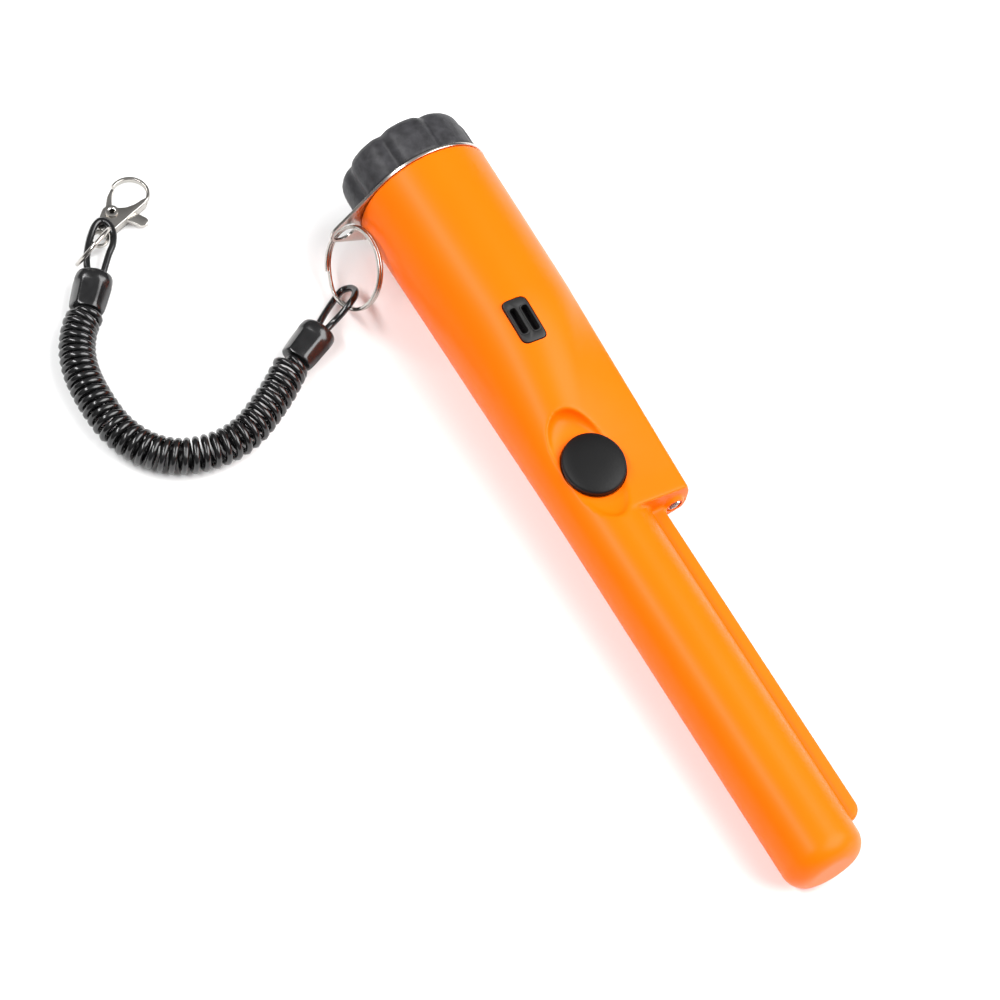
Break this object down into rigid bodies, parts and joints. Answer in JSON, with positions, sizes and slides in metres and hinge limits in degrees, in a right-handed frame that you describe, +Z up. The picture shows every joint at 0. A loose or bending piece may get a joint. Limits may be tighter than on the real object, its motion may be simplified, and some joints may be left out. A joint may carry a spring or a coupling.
{
  "type": "pinpointer probe",
  "caption": "Hand-held metal pinpointer: hollow grip tapering to a thin search rod, push button, sounder grille, screw battery cap and curly lanyard with snap hook.",
  "frame": {"origin": "on the ground under the middle of the probe, cap, washer and split ring (the lanyard is left out), with the probe lying on its back", "axes": "+X from the battery cap to the probe tip, +Y to the keel and scraper ridge, +Z up, which is the side with the push button and the grille"},
  "size_m": [0.2682, 0.1268, 0.0396],
  "materials": {
    "orange_shell": "satin moulded",
    "cap_plastic": "fine grained",
    "button_rubber": "matt",
    "grille_rubber": "matt",
    "seal_rubber": "matt",
    "foam": "open foam",
    "bright_steel": "nickel plated",
    "clasp_metal": "nickel plated",
    "lens_clear": "clear",
    "cord_black": "glossy",
    "sleeve_black": "glossy",
    "battery_wrap": "satin",
    "terminal_metal": "plated",
    "connector_plastic": "moulded",
    "lead_red": "insulation",
    "lead_black": "insulation",
    "lead_grey": "insulation",
    "carrier_plastic": "moulded",
    "board_green": "solder mask",
    "chip_black": "moulded",
    "capacitor_sleeve": "shrink sleeve",
    "switch_black": "moulded",
    "sounder_black": "moulded",
    "gauze": "woven",
    "motor_steel": "drawn",
    "weight_metal": "sintered",
    "lamp_epoxy": "clear moulded",
    "ferrite": "sintered",
    "bobbin_plastic": "moulded",
    "copper_wire": "enamelled copper"
  },
  "bodies": {
    "probe": {"body_shell": "orange_shell", "grille_insert": "grille_rubber", "lamp_lens": "lens_clear", "battery_case": "battery_wrap", "terminal_plus": "terminal_metal", "terminal_minus": "terminal_metal", "snap_connector": "connector_plastic", "lead_red": "lead_red", "lead_black": "lead_black", "board_carrier": "carrier_plastic", "circuit_board": "board_green", "control_chip": "chip_black", "storage_capacitor": "capacitor_sleeve", "switch_body": "switch_black", "sounder": "sounder_black", "sound_gauze": "gauze", "motor_can": "motor_steel", "lamp": "lamp_epoxy", "lamp_lead": "lead_grey", "ferrite_rod": "ferrite", "coil_bobbin": "bobbin_plastic", "search_winding": "copper_wire", "coil_collar_rear": "foam", "coil_collar_tip": "foam", "coil_lead": "copper_wire"},
    "cap_seal": {"cap_seal": "seal_rubber"},
    "cap": {"battery_cap": "cap_plastic", "cap_pad": "foam"},
    "washer": {"lanyard_washer": "bright_steel"},
    "ring": {"split_ring": "bright_steel"},
    "lanyard": {"near_loop": "cord_black", "near_sleeve": "sleeve_black", "curly_cord": "cord_black", "far_sleeve": "sleeve_black", "far_loop": "cord_black"},
    "link": {"link_ring": "bright_steel"},
    "clasp": {"clasp_body": "clasp_metal", "clasp_rivet": "clasp_metal", "clasp_spring": "clasp_metal"},
    "gate": {"clasp_gate": "clasp_metal"},
    "button": {"button_pad": "button_rubber"},
    "plunger": {"switch_plunger": "switch_black"},
    "motor_rotor": {"motor_shaft": "motor_steel", "motor_weight": "weight_metal"}
  },
  "joints": [
    {"name": "cap_draw", "type": "slide", "parent": "probe", "child": "cap_seal", "axis": [-0.999, 0, 0.0447], "range_m": [0, 0.005]},
    {"name": "cap_turn", "type": "hinge", "parent": "cap_seal", "child": "cap", "pos_m": [-0.10869, 0.00641, 0.02071], "axis": [-0.999, 0, 0.0447], "range_deg": [0, 720]},
    {"name": "washer_swivel", "type": "hinge", "parent": "probe", "child": "washer", "pos_m": [-0.10099, 0.00641, 0.02036], "axis": [0.999, 0, -0.0447], "continuous": true},
    {"name": "ring_swing", "type": "hinge", "parent": "washer", "child": "ring", "pos_m": [-0.10126, -0.01905, 0.01436], "axis": [-0.0395, -0.4695, -0.8821], "range_deg": [0, 12]},
    {"name": "lanyard_swing", "type": "hinge", "parent": "ring", "child": "lanyard", "pos_m": [-0.08865, -0.02469, 0.00493], "axis": [0.9617, 0.0923, 0.2582], "range_deg": [-40, 0]},
    {"name": "link_swing", "type": "hinge", "parent": "lanyard", "child": "link", "pos_m": [-0.13288, -0.07799, 0.0054], "axis": [-0.8754, 0.4834, 0], "range_deg": [0, 5]},
    {"name": "clasp_swing", "type": "hinge", "parent": "link", "child": "clasp", "pos_m": [-0.13793, -0.07163, 0.00304], "axis": [-0.0379, 0.7258, 0.6868], "range_deg": [-6, 12]},
    {"name": "gate_open", "type": "hinge", "parent": "clasp", "child": "gate", "pos_m": [-0.14383, -0.06484, 0.0022], "axis": [0, 0, -1], "range_deg": [0, 22], "stiffness_Nm_per_rad": 0.01},
    {"name": "button_press", "type": "slide", "parent": "probe", "child": "button", "axis": [-0.0447, 0, -0.999], "range_m": [0, 0.0006], "stiffness_N_per_m": 2000},
    {"name": "plunger_press", "type": "slide", "parent": "probe", "child": "plunger", "axis": [-0.0447, 0, -0.999], "range_m": [0, 0.0003]},
    {"name": "motor_spin", "type": "hinge", "parent": "probe", "child": "motor_rotor", "pos_m": [0.02236, -0.00069, 0.01875], "axis": [0.999, 0, -0.0447], "continuous": true}
  ],
  "couplings": [
    {"joint": "cap_draw", "follows": "cap_turn", "m_per_rad": 0.00039789},
    {"joint": "plunger_press", "follows": "button_press", "ratio": 0.5}
  ]
}
